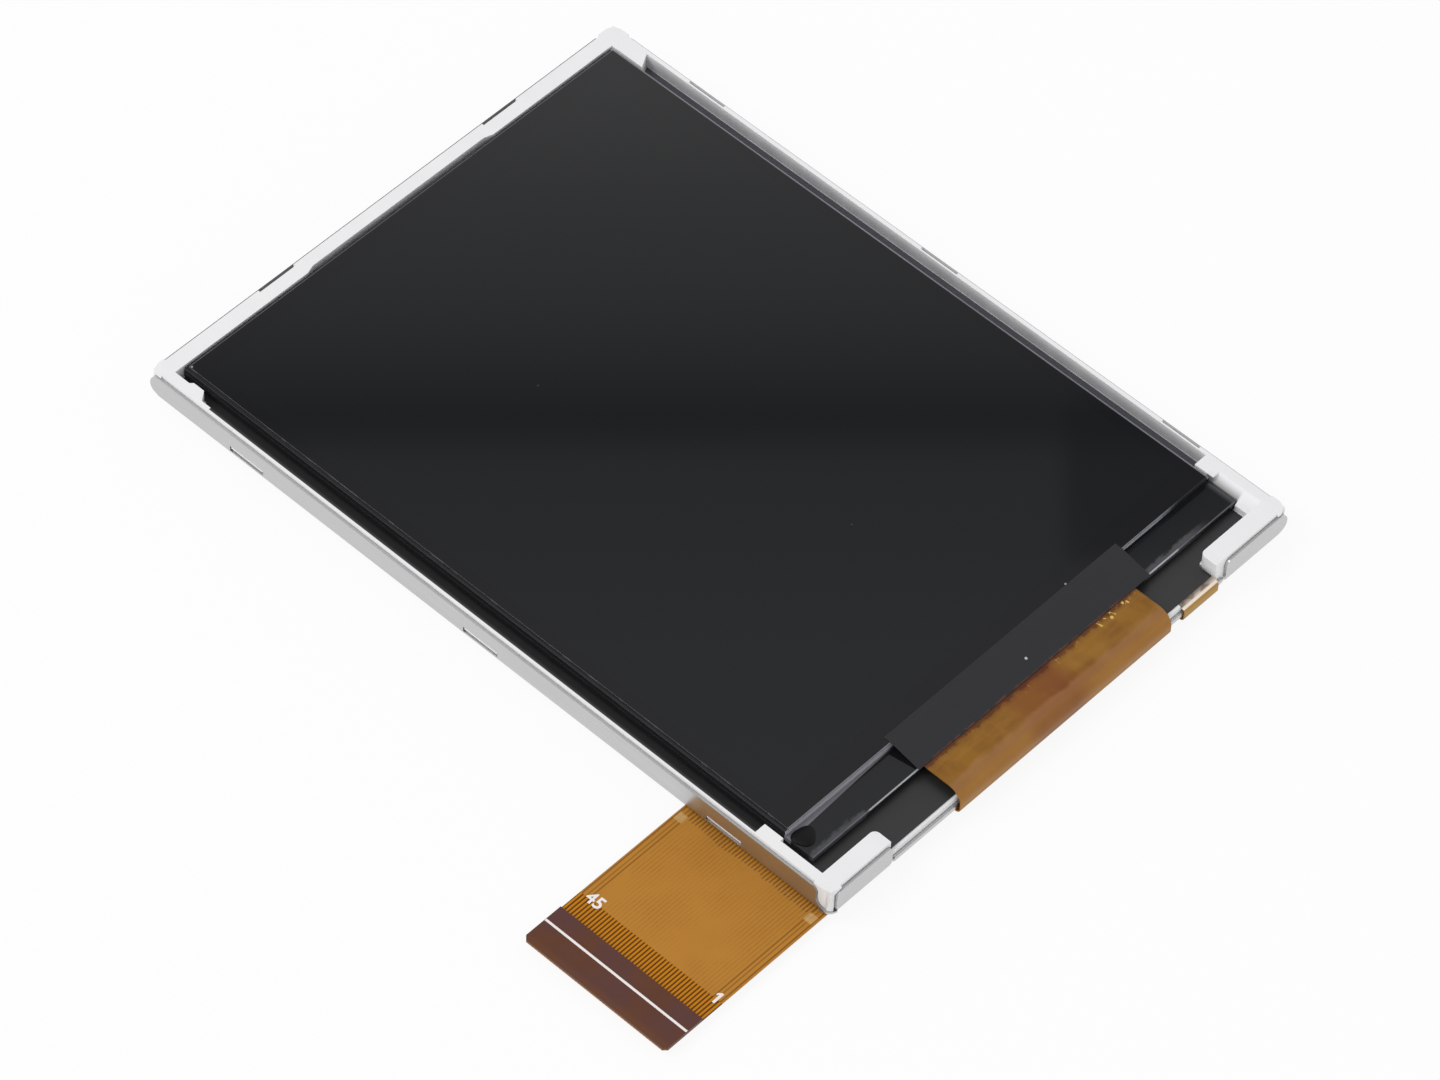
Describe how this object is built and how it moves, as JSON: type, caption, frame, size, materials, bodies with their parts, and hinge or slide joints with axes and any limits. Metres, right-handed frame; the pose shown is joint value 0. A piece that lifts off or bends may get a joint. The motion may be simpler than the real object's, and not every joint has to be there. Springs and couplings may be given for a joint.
{
  "type": "tft display module",
  "caption": "Small colour TFT display module with a side-lit backlight in a folded stainless tray and a flat plug-in circuit tail.",
  "frame": {"origin": "middle of the outer back face of the metal tray", "axes": "+Z out of the picture side, +Y along the long axis away from the end where the circuits fold round, -X towards the side where the tail leaves"},
  "size_m": [0.0664, 0.0695, 0.0036],
  "materials": {
    "stainless_sheet": "bright rolled stainless sheet",
    "white_frame": "smooth white moulding",
    "reflector_film": "bright reflecting film",
    "clear_guide": "clear acrylic",
    "diffuser_film": "frosted film",
    "prism_film": "fine ribbed film",
    "black_tape": "matt black film tape",
    "rear_polarizer_film": "grey polarizing film",
    "panel_glass": "dark coated glass",
    "polarizer_film": "dark glossy film",
    "silicon": "polished silicon",
    "cover_tape": "black film tape with a satin sheen",
    "lamp_plastic": "white moulding with yellow phosphor",
    "amber_flex": "amber flexible circuit",
    "adhesive_film": "white double-sided tape",
    "stiffener_film": "brown polyimide",
    "gold_plate": "gold plate",
    "capacitor_ceramic": "tan ceramic with tinned ends",
    "resistor_body": "black glazed body with tinned ends",
    "diode_body": "black moulded body",
    "solder": "bright solder"
  },
  "bodies": {
    "root": {"metal_tray": "stainless_sheet", "mold_frame": "white_frame", "reflector_sheet": "reflector_film", "light_guide": "clear_guide", "diffuser_sheet": "diffuser_film", "lower_prism_sheet": "prism_film", "upper_prism_sheet": "prism_film", "rim_tape": "black_tape", "rear_polarizer": "rear_polarizer_film", "tft_glass": "panel_glass", "color_filter_glass": "panel_glass", "front_polarizer": "polarizer_film", "driver_chip": "silicon", "chip_cover_tape": "cover_tape", "backlight_leds": "lamp_plastic", "backlight_circuit": "amber_flex", "main_circuit": "amber_flex", "circuit_adhesive": "adhesive_film", "tail_stiffener": "stiffener_film", "tail_contacts": "gold_plate", "chip_capacitors": "capacitor_ceramic", "chip_resistors": "resistor_body", "protection_diode": "diode_body", "solder_joints": "solder"}
  },
  "joints": []
}
